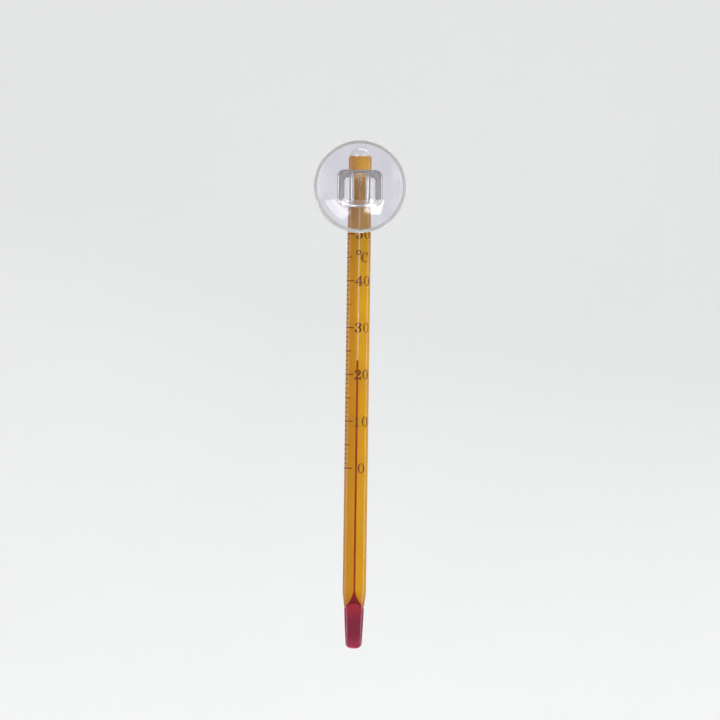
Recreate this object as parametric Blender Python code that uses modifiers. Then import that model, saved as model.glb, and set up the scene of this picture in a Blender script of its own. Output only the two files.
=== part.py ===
"""Glass aquarium thermometer held to a pane by a suction cup, as separate solids.

The stem is a thick glass rod with a fine bore and a strip of yellow enamel fused in behind it.
Dyed spirit fills the thin bulb below and stands in the bore, and the scale is fired on the glass.
The cup is soft clear plastic: a dish that grips the pane, and a collar behind it for the stem.

Frame: metres, +Z up the stem, and -Y towards the pane and the reader.
The origin is the centre of the cup's rim, on the pane.
"""

import math

import bmesh
import bpy
from mathutils import Vector

MM = 0.001

# Stem and bulb. Heights are along Z, radii are from the stem's own axis.
TOTAL_LENGTH = 150.0 * MM
STEM_TOP = 12.5 * MM
STEM_RADIUS = 3.5 * MM
STEM_SEGMENTS = 48
BULB_TIP = STEM_TOP - TOTAL_LENGTH
BULB_LENGTH = 11.5 * MM
BULB_TOP = BULB_TIP + BULB_LENGTH
BULB_TOP_RADIUS = 2.95 * MM
BULB_LOW_RADIUS = 2.45 * MM
BULB_NOSE_LENGTH = 2.2 * MM
BULB_WALL = 0.6 * MM
SHOULDER_LENGTH = 6.0 * MM

# Bore, the flared mouth that joins it to the bulb, and the safety chamber above the scale.
BORE_RADIUS = 0.25 * MM
MOUTH_LENGTH = 7.0 * MM
MOUTH_TOP = BULB_TOP + MOUTH_LENGTH
MOUTH_RADIUS = BULB_TOP_RADIUS - BULB_WALL
CHAMBER_LOW = 1.0 * MM
CHAMBER_LENGTH = 5.5 * MM
CHAMBER_RADIUS = 0.7 * MM

# Enamel strip, fused in behind the bore.
ENAMEL_WIDTH = 4.0 * MM
ENAMEL_THICKNESS = 0.3 * MM
ENAMEL_BEHIND_AXIS = 1.2 * MM
ENAMEL_TOP = STEM_TOP - 2.6 * MM
ENAMEL_TAIL = BULB_TOP + 1.1 * MM
ENAMEL_TAIL_SPREAD = 3.3 * MM

# Scale.
DEGREE = 1.4 * MM
ZERO_HEIGHT = -83.3 * MM
SCALE_END = 50
READING = 23
INK_THICKNESS = 0.04 * MM
INK_LIFT = 0.02 * MM
MARK_START = math.radians(-105)
LONG_MARK = (math.radians(-20), 0.34 * MM)
HALF_MARK = (math.radians(-35), 0.30 * MM)
WRAP_STEP = 0.35 * MM
DIGIT_HEIGHT = 3.0 * MM
DIGIT_STRETCH = 1.12
FIRST_DIGIT_EDGE = -0.95 * MM
SECOND_DIGIT_EDGE = 1.56 * MM
LONE_DIGIT_EDGE = 0.5 * MM
LETTER_HEIGHT = 3.2 * MM
LETTER_EDGE = 0.62 * MM
RING_EDGE = -0.86 * MM
UNIT_PLACE_ON_SCALE = 45

# Suction cup. Depths are along Y, from the pane.
DISH_RADIUS = 13.6 * MM
DISH_SEGMENTS = 48
LIP_WIDTH = 0.9 * MM
LIP_THICKNESS = 0.6 * MM
HOLLOW_DEPTH = 6.0 * MM
DISH_BACK = 7.8 * MM
COLLAR_WIDTH = 12.7 * MM
COLLAR_HEIGHT = 10.4 * MM
COLLAR_EDGE = 1.7 * MM
COLLAR_FRONT_WALL = 0.9 * MM
COLLAR_BACK_WALL = 1.9 * MM

# Clearances between separate solids.
MOULDED_GAP = 0.3 * MM
SLIDING_GAP = 0.1 * MM
FUSED_GAP = 0.1 * MM
LIQUID_GAP = 0.03 * MM

COLLAR_BORE = STEM_RADIUS + SLIDING_GAP
STEM_Y = DISH_BACK + MOULDED_GAP + COLLAR_FRONT_WALL + COLLAR_BORE
COLLAR_BACK = STEM_Y + COLLAR_BORE + COLLAR_BACK_WALL

COLUMN_TOP_LENGTH = 12.0 * MM
MENISCUS_DIP = 0.12 * MM


def clear_scene():
    for obj in list(bpy.data.objects):
        bpy.data.objects.remove(obj, do_unlink=True)


def make_collection(name):
    collection = bpy.data.collections.new(name)
    bpy.context.scene.collection.children.link(collection)
    return collection


def make_material(name, colour, roughness, transmission=0.0, ior=1.5):
    material = bpy.data.materials.new(name)
    material.use_nodes = True
    shader = material.node_tree.nodes["Principled BSDF"]
    shader.inputs["Base Color"].default_value = (*colour, 1.0)
    shader.inputs["Roughness"].default_value = roughness
    shader.inputs["Metallic"].default_value = 0.0
    shader.inputs["Transmission Weight"].default_value = transmission
    shader.inputs["IOR"].default_value = ior
    return material


def add_object(name, data, material, collection):
    obj = bpy.data.objects.new(name, data)
    if material:
        data.materials.append(material)
    collection.objects.link(obj)
    return obj


def sweep(function, start, end, count):
    """Values of a function at evenly spaced places from start to end, both included."""
    return [function(start + (end - start) * step / count) for step in range(count + 1)]


def turned(name, profile, segments, material, collection):
    """A solid of revolution about Z. The profile runs down the outer side and back up the inner one."""
    mesh = bpy.data.meshes.new(name)
    points = [(radius, 0.0, height) for radius, height in profile]
    edges = [(index, index + 1) for index in range(len(points) - 1)]
    mesh.from_pydata(points, edges, [])
    obj = add_object(name, mesh, material, collection)
    screw = obj.modifiers.new("turn", "SCREW")
    screw.steps = segments
    screw.render_steps = segments
    screw.use_merge_vertices = True
    screw.merge_threshold = 1e-6
    screw.use_smooth_shade = True
    return obj


def stem_axis(collection):
    """The empty on the stem's axis that everything in or on the stem is placed from."""
    axis = bpy.data.objects.new("stem_axis", None)
    axis.location.y = STEM_Y
    collection.objects.link(axis)
    return axis


def cut_by(obj, cutter, name):
    cutter.hide_render = True
    cutter.display_type = "WIRE"
    boolean = obj.modifiers.new(name, "BOOLEAN")
    boolean.operation = "DIFFERENCE"
    boolean.object = cutter


def block(name, size, centre, material, collection):
    """A box with its size in its own mesh, so that bevels keep their width."""
    mesh = bpy.data.meshes.new(name)
    box = bmesh.new()
    bmesh.ops.create_cube(box, size=1.0)
    bmesh.ops.scale(box, vec=Vector(size), verts=box.verts)
    box.to_mesh(mesh)
    box.free()
    obj = add_object(name, mesh, material, collection)
    obj.location = centre
    return obj


def shoulder_radius(height):
    """The stem's outer radius where it narrows to the bulb, as half of a cosine wave."""
    drawn = (BULB_TOP + SHOULDER_LENGTH - height) / SHOULDER_LENGTH
    return STEM_RADIUS + (BULB_TOP_RADIUS - STEM_RADIUS) * (1 - math.cos(math.pi * drawn)) / 2


def mouth_radius(height):
    """The cavity's radius where the bore flares out to the bulb."""
    drawn = (MOUTH_TOP - height) / MOUTH_LENGTH
    return BORE_RADIUS + (MOUTH_RADIUS - BORE_RADIUS) * drawn**2


def bulb_profile(inset):
    """(radius, height) down the bulb, this far inside its outer surface, to its tip on the axis."""
    top = BULB_TOP_RADIUS - inset
    low = BULB_LOW_RADIUS - inset
    nose_start = BULB_TIP + BULB_NOSE_LENGTH
    nose_length = BULB_NOSE_LENGTH - inset
    side = [(top, BULB_TOP), ((top + low) / 2 + 0.03 * MM, (BULB_TOP + nose_start) / 2)]
    nose = sweep(
        lambda turn: (low * math.cos(turn), nose_start - nose_length * math.sin(turn)),
        0.0,
        math.pi / 2,
        6,
    )
    nose[-1] = (0.0, nose[-1][1])
    return side + nose


def stem_profile():
    """Down the outside from the domed top, across the open foot, and up the mouth, bore and chamber."""
    dome_height = STEM_RADIUS * 0.9
    dome = sweep(
        lambda turn: (STEM_RADIUS * math.sin(turn), STEM_TOP - dome_height * (1 - math.cos(turn))),
        0.0,
        math.pi / 2,
        6,
    )
    shoulder = sweep(lambda z: (shoulder_radius(z), z), BULB_TOP + SHOULDER_LENGTH, BULB_TOP, 5)
    mouth = sweep(lambda z: (mouth_radius(z), z), BULB_TOP, MOUTH_TOP, 6)
    chamber = sweep(
        lambda turn: (
            BORE_RADIUS + (CHAMBER_RADIUS - BORE_RADIUS) * math.sin(turn),
            CHAMBER_LOW + CHAMBER_LENGTH * turn / math.pi,
        ),
        0.0,
        math.pi * 0.8,
        5,
    )
    chamber_top = (0.0, CHAMBER_LOW + CHAMBER_LENGTH)
    return dome + shoulder + mouth + chamber + [chamber_top]


def make_glass(axis, glass, parts, cutters):
    stem = turned("glass_stem", stem_profile(), STEM_SEGMENTS, glass, parts)
    stem.parent = axis
    slot_low = ENAMEL_TAIL - 0.5 * MM
    slot_top = ENAMEL_TOP + FUSED_GAP
    slot = block(
        "enamel_slot",
        (ENAMEL_WIDTH + 2 * FUSED_GAP, ENAMEL_THICKNESS + 2 * FUSED_GAP, slot_top - slot_low),
        (0.0, ENAMEL_BEHIND_AXIS, (slot_top + slot_low) / 2),
        None,
        cutters,
    )
    slot.parent = axis
    cut_by(stem, slot, "slot for the enamel")

    outside = bulb_profile(0.0)
    inside = bulb_profile(BULB_WALL)
    outside[0] = (outside[0][0], BULB_TOP - FUSED_GAP)
    inside[0] = (inside[0][0], BULB_TOP - FUSED_GAP)
    bulb = turned("glass_bulb", inside[::-1] + outside, STEM_SEGMENTS, glass, parts)
    bulb.parent = axis


def make_enamel(axis, enamel, parts, cutters):
    """A flat ribbon with two tails that run down beside the flared mouth of the bore."""
    half = ENAMEL_WIDTH / 2
    corner = 0.4 * MM
    outline = [
        (-half, ENAMEL_TOP - corner),
        (-half + corner, ENAMEL_TOP),
        (half - corner, ENAMEL_TOP),
        (half, ENAMEL_TOP - corner),
        (half, BULB_TOP + SHOULDER_LENGTH / 2),
        (ENAMEL_TAIL_SPREAD / 2, ENAMEL_TAIL),
        (-ENAMEL_TAIL_SPREAD / 2, ENAMEL_TAIL),
        (-half, BULB_TOP + SHOULDER_LENGTH / 2),
    ]
    curve = flat_curve("enamel_outline", [[(x, z, True) for x, z in outline]], ENAMEL_THICKNESS)
    ribbon = mesh_of_curve("enamel_strip", curve, enamel, parts)
    ribbon.rotation_euler.x = math.pi / 2
    ribbon.location.y = ENAMEL_BEHIND_AXIS
    ribbon.parent = axis

    cavity = sweep(lambda z: (mouth_radius(z) + FUSED_GAP, z), MOUTH_TOP, BULB_TOP - MM, 8)
    profile = [(0.0, MOUTH_TOP)] + cavity + [(0.0, BULB_TOP - MM)]
    mouth = turned("mouth_cutter", profile, STEM_SEGMENTS, None, cutters)
    mouth.parent = axis
    cut_by(ribbon, mouth, "room for the mouth")


def make_spirit(axis, spirit, parts):
    """The filling of the bulb, the thread in the bore, and the top of the column with its meniscus."""
    thread_radius = BORE_RADIUS - LIQUID_GAP
    mouth = sweep(lambda z: (mouth_radius(z) - LIQUID_GAP, z), MOUTH_TOP, BULB_TOP, 6)
    filling = [(0.0, MOUTH_TOP)] + mouth + bulb_profile(BULB_WALL + LIQUID_GAP)[1:]
    reservoir = turned("spirit_reservoir", filling, 32, spirit, parts)

    reading_height = ZERO_HEIGHT + READING * DEGREE
    column_top_foot = reading_height - COLUMN_TOP_LENGTH
    thread_low = MOUTH_TOP + LIQUID_GAP
    thread_top = column_top_foot - LIQUID_GAP
    rod = [(0.0, thread_top), (thread_radius, thread_top), (thread_radius, thread_low), (0.0, thread_low)]
    thread = turned("spirit_thread", rod, 16, spirit, parts)

    meniscus = sweep(
        lambda share: (thread_radius * share, reading_height - MENISCUS_DIP * (1 - share**2)),
        0.0,
        1.0,
        4,
    )
    top_rod = meniscus + [(thread_radius, column_top_foot), (0.0, column_top_foot)]
    column_top = turned("spirit_column_top", top_rod, 16, spirit, parts)
    for liquid in (reservoir, thread, column_top):
        liquid.parent = axis


def spherical(depth_at_axis, radius_at_edge, depth_at_edge):
    """The ball's radius and its centre's depth, for a bowl through this apex and this edge."""
    rise = depth_at_axis - depth_at_edge
    ball = (radius_at_edge**2 + rise**2) / (2 * rise)
    return ball, depth_at_axis - ball


def bowl_line(depth_at_axis, radius_at_edge, depth_at_edge, count):
    """(radius, depth) from the apex to the edge of a spherical bowl."""
    ball, centre = spherical(depth_at_axis, radius_at_edge, depth_at_edge)
    opening = math.asin(radius_at_edge / ball)
    return sweep(lambda turn: (ball * math.sin(turn), centre + ball * math.cos(turn)), 0.0, opening, count)


def make_suction_cup(axis, plastic, parts, cutters):
    back = bowl_line(DISH_BACK, DISH_RADIUS, LIP_THICKNESS, 9)
    hollow = bowl_line(HOLLOW_DEPTH, DISH_RADIUS - LIP_WIDTH, 0.0, 9)
    lip = [(DISH_RADIUS, 0.0)]
    dish = turned("suction_dish", back + lip + hollow[::-1], DISH_SEGMENTS, plastic, parts)
    dish.rotation_euler.x = -math.pi / 2

    front = DISH_BACK - 2.5 * MM
    collar = block(
        "stem_collar",
        (COLLAR_WIDTH, COLLAR_BACK - front, COLLAR_HEIGHT),
        (0.0, (COLLAR_BACK + front) / 2, 0.0),
        plastic,
        parts,
    )
    edges = collar.modifiers.new("soft edges", "BEVEL")
    edges.width = COLLAR_EDGE
    edges.segments = 3
    ball, centre = spherical(DISH_BACK, DISH_RADIUS, LIP_THICKNESS)
    mesh = bpy.data.meshes.new("dish_back_cutter")
    sphere = bmesh.new()
    bmesh.ops.create_uvsphere(sphere, u_segments=64, v_segments=40, radius=ball + MOULDED_GAP)
    sphere.to_mesh(mesh)
    sphere.free()
    dish_back = add_object("dish_back_cutter", mesh, None, cutters)
    dish_back.location.y = centre
    dish_back.rotation_euler.x = math.pi / 2
    cut_by(collar, dish_back, "seat on the dish")

    mesh = bpy.data.meshes.new("collar_bore_cutter")
    rod = bmesh.new()
    bmesh.ops.create_cone(
        rod,
        cap_ends=True,
        segments=STEM_SEGMENTS,
        radius1=COLLAR_BORE,
        radius2=COLLAR_BORE,
        depth=2 * COLLAR_HEIGHT,
    )
    rod.to_mesh(mesh)
    rod.free()
    bore = add_object("collar_bore_cutter", mesh, None, cutters)
    bore.parent = axis
    cut_by(collar, bore, "bore for the stem")


def flat_curve(name, outlines, thickness):
    """A filled 2D curve. Each outline is a list of (x, y, corner), and inner outlines are holes."""
    curve = bpy.data.curves.new(name, "CURVE")
    curve.dimensions = "2D"
    curve.fill_mode = "BOTH"
    curve.extrude = thickness / 2
    curve.resolution_u = 4
    for outline in outlines:
        spline = curve.splines.new("BEZIER")
        spline.bezier_points.add(len(outline) - 1)
        spline.use_cyclic_u = True
        for point, (x, y, corner) in zip(spline.bezier_points, outline):
            point.co = (x, y, 0.0)
            point.handle_left_type = "VECTOR" if corner else "AUTO"
            point.handle_right_type = "VECTOR" if corner else "AUTO"
    return curve


def mesh_of_curve(name, curve, material, collection):
    """The closed mesh of a filled curve, whose caps are welded to its sides."""
    guide = bpy.data.objects.new(name + "_guide", curve)
    bpy.context.scene.collection.objects.link(guide)
    graph = bpy.context.evaluated_depsgraph_get()
    mesh = bpy.data.meshes.new_from_object(guide.evaluated_get(graph))
    mesh.name = name
    bpy.data.objects.remove(guide, do_unlink=True)
    shape = bmesh.new()
    shape.from_mesh(mesh)
    bmesh.ops.remove_doubles(shape, verts=shape.verts, dist=1e-7)
    bmesh.ops.dissolve_degenerate(shape, edges=shape.edges, dist=1e-7)
    bmesh.ops.recalc_face_normals(shape, faces=shape.faces)
    shape.to_mesh(mesh)
    shape.free()
    return add_object(name, mesh, material, collection)


def wrap_on_stem(obj, height):
    """Bends a flat solid round the front of the stem: its x becomes arc, its y height, its z depth."""
    shape = bmesh.new()
    shape.from_mesh(obj.data)
    widths = [vert.co.x for vert in shape.verts]
    cuts = range(math.ceil(min(widths) / WRAP_STEP), math.floor(max(widths) / WRAP_STEP) + 1)
    for cut in cuts:
        bmesh.ops.bisect_plane(
            shape,
            geom=list(shape.verts) + list(shape.edges) + list(shape.faces),
            dist=1e-7,
            plane_co=(cut * WRAP_STEP, 0.0, 0.0),
            plane_no=(1.0, 0.0, 0.0),
        )
    bmesh.ops.triangulate(shape, faces=shape.faces)
    middle = STEM_RADIUS + INK_LIFT + INK_THICKNESS / 2
    for vert in shape.verts:
        angle = vert.co.x / STEM_RADIUS
        radius = middle + vert.co.z
        vert.co = (radius * math.sin(angle), -radius * math.cos(angle), vert.co.y)
    shape.to_mesh(obj.data)
    shape.free()
    obj.location.z = height


def scale_height(degrees):
    return ZERO_HEIGHT + degrees * DEGREE


def make_marks(axis, ink, parts):
    """The long marks at every ten degrees, and the half marks between them."""
    for degrees in range(0, SCALE_END + 1, 5):
        end, width = HALF_MARK if degrees % 10 else LONG_MARK
        start = MARK_START * STEM_RADIUS
        stop = end * STEM_RADIUS
        low = -width / 2
        high = width / 2
        outline = [(start, low, True), (stop, low, True), (stop, high, True), (start, high, True)]
        name = f"mark_{degrees:02d}_degrees"
        mark = mesh_of_curve(name, flat_curve(name, [outline], INK_THICKNESS), ink, parts)
        wrap_on_stem(mark, scale_height(degrees))
        mark.parent = axis


def ring(width, height, side, crown, base=0.0):
    """An upright oval with thick sides and a thin crown and foot, as two outlines."""
    middle_x = width / 2
    middle_y = base + height / 2

    def oval(half_width, half_height):
        return [
            (middle_x, middle_y - half_height, False),
            (middle_x + half_width, middle_y, False),
            (middle_x, middle_y + half_height, False),
            (middle_x - half_width, middle_y, False),
        ]

    return [oval(width / 2, height / 2), oval(width / 2 - side, height / 2 - crown)]


def drawn(corners, *outlines):
    """Outlines of plain points, with the points that are sharp corners picked out."""
    return [[(x, y, (x, y) in corners) for x, y in outline] for outline in outlines]


def straight(*outlines):
    return [[(x, y, True) for x, y in outline] for outline in outlines]


def digit_shapes():
    """Outlines of the digits in tenths of the digit's height, in a plain book style."""
    foot_hook = [(0.1, 2.1), (1.2, 3.1), (2.3, 2.2), (1.9, 1.2), (2.9, 0.6)]
    two = [
        (0.1, 0.0), (6.1, 0.0), (6.6, 3.0), (6.0, 3.0), (5.0, 1.9), (2.3, 1.9), (5.0, 4.6), (6.3, 7.2),
        (3.4, 10.0), (0.3, 7.6), (1.3, 6.5), (2.3, 7.4), (2.0, 8.6), (3.0, 9.3), (4.1, 7.3), (3.0, 4.6),
        (0.1, 1.0),
    ]
    two_corners = [(0.1, 0.0), (6.1, 0.0), (6.6, 3.0), (6.0, 3.0), (5.0, 1.9), (2.3, 1.9), (0.1, 1.0)]
    three = [
        (0.4, 7.7), (1.4, 6.8), (2.3, 7.6), (2.0, 8.6), (3.0, 9.4), (4.0, 7.6), (2.7, 5.7), (2.2, 5.6),
        (2.2, 5.0), (2.9, 4.9), (4.2, 2.9), *foot_hook[::-1], (3.0, 0.0), (6.3, 2.9), (4.8, 5.4),
        (6.0, 7.7), (3.2, 10.0),
    ]
    three_corners = [(2.7, 5.7), (2.2, 5.6), (2.2, 5.0), (2.9, 4.9), (4.8, 5.4)]
    five = [
        (1.2, 9.9), (5.9, 9.9), (5.4, 8.1), (1.8, 8.1), (1.7, 6.1), (3.4, 6.5), (6.3, 3.3), (3.0, 0.0),
        *foot_hook, (4.2, 3.2), (2.8, 5.7), (0.9, 4.9),
    ]
    five_corners = [(1.2, 9.9), (5.9, 9.9), (5.4, 8.1), (1.8, 8.1), (1.7, 6.1), (0.9, 4.9)]
    one = [
        (0.6, 0.0), (5.2, 0.0), (5.2, 0.55), (3.9, 0.9), (3.9, 10.0), (3.4, 10.0), (0.6, 8.7), (0.8, 8.2),
        (1.9, 8.6), (1.9, 0.9), (0.6, 0.55),
    ]
    four = [
        (2.5, 0.0), (6.4, 0.0), (6.4, 0.55), (5.4, 0.9), (5.4, 2.5), (6.8, 2.5), (6.8, 3.6), (5.4, 3.6),
        (5.4, 10.0), (4.4, 10.0), (0.0, 3.6), (0.0, 2.5), (3.5, 2.5), (3.5, 0.9), (2.5, 0.55),
    ]
    four_hole = [(1.2, 3.6), (3.5, 3.6), (3.5, 7.2)]
    return {
        "0": ring(6.6, 10.0, 1.5, 0.6),
        "1": straight(one),
        "2": drawn(two_corners, two),
        "3": drawn(three_corners, three),
        "4": straight(four, four_hole),
        "5": drawn(five_corners, five),
    }


def make_glyph(name, outlines, height, left_edge, middle_height, axis, ink, parts):
    """One printed figure, this tall, with its left edge at this arc from the front of the stem."""
    unit = height / 10
    across = unit * DIGIT_STRETCH
    placed = [
        [(left_edge + x * across, y * unit - height / 2, corner) for x, y, corner in outline]
        for outline in outlines
    ]
    glyph = mesh_of_curve(name, flat_curve(name, placed, INK_THICKNESS), ink, parts)
    wrap_on_stem(glyph, middle_height)
    glyph.parent = axis


def make_figures(axis, ink, parts):
    """The figures beside the long marks, digit by digit, and the sign for degrees Celsius."""
    shapes = digit_shapes()
    for degrees in range(0, SCALE_END + 1, 10):
        digits = str(degrees)
        edges = (LONE_DIGIT_EDGE,) if degrees == 0 else (FIRST_DIGIT_EDGE, SECOND_DIGIT_EDGE)
        for digit, edge, place in zip(digits, edges, ("tens", "units")):
            name = f"figure_{degrees:02d}_{place}"
            middle = scale_height(degrees)
            make_glyph(name, shapes[digit], DIGIT_HEIGHT, edge, middle, axis, ink, parts)

    letter = [
        (6.4, 9.9), (6.6, 6.7), (6.0, 6.7), (3.9, 9.4), (1.8, 5.0), (4.0, 0.6), (6.2, 2.5), (6.7, 2.1),
        (3.7, 0.0), (0.0, 5.0), (3.7, 10.0), (5.8, 9.2),
    ]
    letter_corners = [(6.4, 9.9), (6.6, 6.7), (6.0, 6.7), (6.2, 2.5), (6.7, 2.1), (5.8, 9.2)]
    height = scale_height(UNIT_PLACE_ON_SCALE)
    shape = drawn(letter_corners, letter)
    make_glyph("figure_celsius", shape, LETTER_HEIGHT, LETTER_EDGE, height, axis, ink, parts)
    small_ring = ring(4.4, 4.6, 1.1, 0.9, base=7.2)
    make_glyph("figure_degree_ring", small_ring, LETTER_HEIGHT, RING_EDGE, height, axis, ink, parts)


def main():
    clear_scene()
    parts = make_collection("glass_thermometer")
    cutters = make_collection("cutters")
    glass = make_material("clear glass", (0.95, 0.97, 0.96), 0.02, transmission=1.0)
    enamel = make_material("yellow enamel", (0.72, 0.36, 0.01), 0.35)
    spirit = make_material("dyed spirit", (0.42, 0.01, 0.03), 0.05, transmission=0.4, ior=1.36)
    ink = make_material("fired ink", (0.035, 0.012, 0.006), 0.55)
    plastic = make_material("clear soft plastic", (0.86, 0.85, 0.87), 0.12, transmission=0.9)
    axis = stem_axis(parts)
    make_glass(axis, glass, parts, cutters)
    make_enamel(axis, enamel, parts, cutters)
    make_spirit(axis, spirit, parts)
    make_suction_cup(axis, plastic, parts, cutters)
    make_marks(axis, ink, parts)
    make_figures(axis, ink, parts)


main()
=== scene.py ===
"""The looks of a glass aquarium thermometer and its suction cup, on the frame of its solids.

Each piece is made by an operator, and a panel in the 3D view's sidebar lists them all.
Lengths are in metres. +Z runs up the stem, and -Y points to the pane and to the reader.
"""

import math

import bpy
from bpy.props import FloatProperty, FloatVectorProperty, IntProperty, PointerProperty
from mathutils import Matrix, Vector


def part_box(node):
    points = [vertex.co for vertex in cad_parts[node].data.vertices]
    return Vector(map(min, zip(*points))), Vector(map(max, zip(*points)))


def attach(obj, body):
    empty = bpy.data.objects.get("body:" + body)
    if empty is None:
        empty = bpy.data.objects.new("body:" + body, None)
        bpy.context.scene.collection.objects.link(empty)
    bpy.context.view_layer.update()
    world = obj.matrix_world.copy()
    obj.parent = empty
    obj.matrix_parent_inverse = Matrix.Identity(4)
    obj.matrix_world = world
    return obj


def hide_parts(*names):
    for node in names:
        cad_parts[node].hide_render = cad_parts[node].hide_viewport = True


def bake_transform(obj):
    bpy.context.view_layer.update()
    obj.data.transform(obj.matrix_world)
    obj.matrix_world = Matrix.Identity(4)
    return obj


bl_info = {
    "name": "Glass Aquarium Thermometer",
    "version": (1, 0, 0),
    "blender": (4, 5, 0),
    "location": "View3D > Sidebar > Thermometer",
    "description": "Builds a spirit thermometer with a suction cup on the frame of its solids",
    "category": "Object",
}

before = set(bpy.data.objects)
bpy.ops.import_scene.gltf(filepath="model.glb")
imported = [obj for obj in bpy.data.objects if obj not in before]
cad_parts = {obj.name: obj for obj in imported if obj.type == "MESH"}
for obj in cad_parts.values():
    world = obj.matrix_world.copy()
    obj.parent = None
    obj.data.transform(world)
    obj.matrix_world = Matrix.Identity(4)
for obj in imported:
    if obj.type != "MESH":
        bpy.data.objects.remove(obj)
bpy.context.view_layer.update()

MM = 0.001
STEM_LOW, STEM_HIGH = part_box("glass_stem")
BULB_LOW, BULB_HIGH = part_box("glass_bulb")
DISH_LOW, DISH_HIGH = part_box("suction_dish")
COLLAR_LOW, COLLAR_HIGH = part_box("stem_collar")
THREAD_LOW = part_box("spirit_thread")[0]
COLUMN_LOW, COLUMN_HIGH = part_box("spirit_column_top")
ZERO_LOW, ZERO_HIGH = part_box("mark_00_degrees")
FIFTY_LOW, FIFTY_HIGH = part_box("mark_50_degrees")

STEM_RADIUS = (STEM_HIGH[0] - STEM_LOW[0]) / 2
STEM_AXIS = Vector(((STEM_HIGH[0] + STEM_LOW[0]) / 2, (STEM_HIGH[1] + STEM_LOW[1]) / 2, 0.0))
STEM_TOP = STEM_HIGH[2]
BULB_TOP = STEM_LOW[2]
BULB_TIP = BULB_LOW[2]
BULB_TOP_RADIUS = (BULB_HIGH[0] - BULB_LOW[0]) / 2
MOUTH_TOP = THREAD_LOW[2]
COLUMN_FOOT = COLUMN_LOW[2]
READING = COLUMN_HIGH[2]
DISH_RADIUS = (DISH_HIGH[0] - DISH_LOW[0]) / 2
DISH_BACK = DISH_HIGH[1]
COLLAR_HALF_WIDTH = (COLLAR_HIGH[0] - COLLAR_LOW[0]) / 2
COLLAR_HALF_HEIGHT = (COLLAR_HIGH[2] - COLLAR_LOW[2]) / 2
COLLAR_BACK = COLLAR_HIGH[1]
ZERO_HEIGHT = (ZERO_LOW[2] + ZERO_HIGH[2]) / 2
DEGREE = ((FIFTY_LOW[2] + FIFTY_HIGH[2]) / 2 - ZERO_HEIGHT) / 50

GLASS_BEND = 1.52
PLASTIC_BEND = 1.53
GOLDEN_ANGLE = 2.399963


# ---------------------------------------------------------------- settings


def a_length(name, description, default):
    return FloatProperty(name=name, description=description, default=default, unit="LENGTH")


def an_angle(name, description, degrees):
    return FloatProperty(name=name, description=description, default=math.radians(degrees), subtype="ANGLE")


def a_colour(name, description, default):
    return FloatVectorProperty(
        name=name, description=description, default=default, subtype="COLOR", min=0.0, max=1.0
    )


class GlassSettings(bpy.types.PropertyGroup):
    """Sizes and clarity of the glass rod and its bulb."""

    segments: IntProperty(name="Segments", description="Faces round the stem", default=128, min=24, max=256)
    shoulder_length: a_length("Shoulder", "Length over which the stem narrows to the bulb", 6.0 * MM)
    bulb_low_radius: a_length("Bulb end radius", "Radius of the bulb just above its rounded end", 2.45 * MM)
    bulb_nose_length: a_length("Bulb end length", "Length of the bulb's rounded end", 1.9 * MM)
    bulb_end_squareness: FloatProperty(
        name="Bulb end squareness",
        description="Power of the curve of the bulb's end: 2 is round, and more is squarer",
        default=2.5,
        min=2.0,
        max=6.0,
    )
    bulb_wall: a_length("Bulb wall", "Thickness of the glass round the spirit in the bulb", 0.6 * MM)
    bore_radius: a_length("Bore radius", "Radius of the fine bore along the stem", 0.13 * MM)
    chamber_radius: a_length(
        "Chamber radius", "Largest radius of the safety chamber at the top of the bore", 0.7 * MM
    )
    chamber_low: a_length(
        "Chamber start", "Height at which the bore widens into the safety chamber", 1.0 * MM
    )
    chamber_length: a_length("Chamber length", "Length of the safety chamber", 5.5 * MM)
    tint: a_colour("Tint", "Colour of the clear glass", (0.975, 0.99, 0.98))


class SpiritSettings(bpy.types.PropertyGroup):
    """Colours and size of the dyed spirit."""

    overlap: a_length(
        "Wetting", "How far the thread's skin lies over the bore's wall, so that no air shows", 0.065 * MM
    )
    meniscus_depth: a_length("Meniscus depth", "Depth of the hollow at the top of the thread", 0.14 * MM)
    thread_colour: a_colour("Thread colour", "Colour of the spirit in the bore", (0.46, 0.022, 0.004))
    mouth_colour: a_colour(
        "Mouth colour", "Colour of the spirit in the flared mouth of the bore", (0.46, 0.025, 0.045)
    )
    bulb_colour: a_colour(
        "Bulb colour", "Colour of the spirit in the bulb, where light passes through it", (0.27, 0.012, 0.045)
    )


class EnamelSettings(bpy.types.PropertyGroup):
    """Colours of the strip behind the bore."""

    colour: a_colour("Enamel colour", "Main colour of the enamel strip", (0.94, 0.465, 0.004))
    # The shade colour serves both the darker streaks and the painted shade on the strip's left side.
    shade: a_colour("Enamel shade", "Colour of the darker streaks in the enamel", (0.76, 0.325, 0.003))


class PrintSettings(bpy.types.PropertyGroup):
    """Sizes and colour of the scale fired on the glass."""

    thickness: a_length("Ink thickness", "Thickness of the fired ink", 0.03 * MM)
    lift: a_length("Ink lift", "Gap between the glass and the ink", 0.015 * MM)
    fine_mark_width: a_length("Fine mark width", "Width of the mark at each single degree", 0.22 * MM)
    mark_start: an_angle(
        "Mark start", "Angle round the stem from the front at which the fine marks start", -105
    )
    fine_mark_end: an_angle(
        "Fine mark end", "Angle round the stem from the front at which the fine marks end", -52
    )
    colour: a_colour("Ink colour", "Colour of the fired ink", (0.115, 0.032, 0.004))


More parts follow.
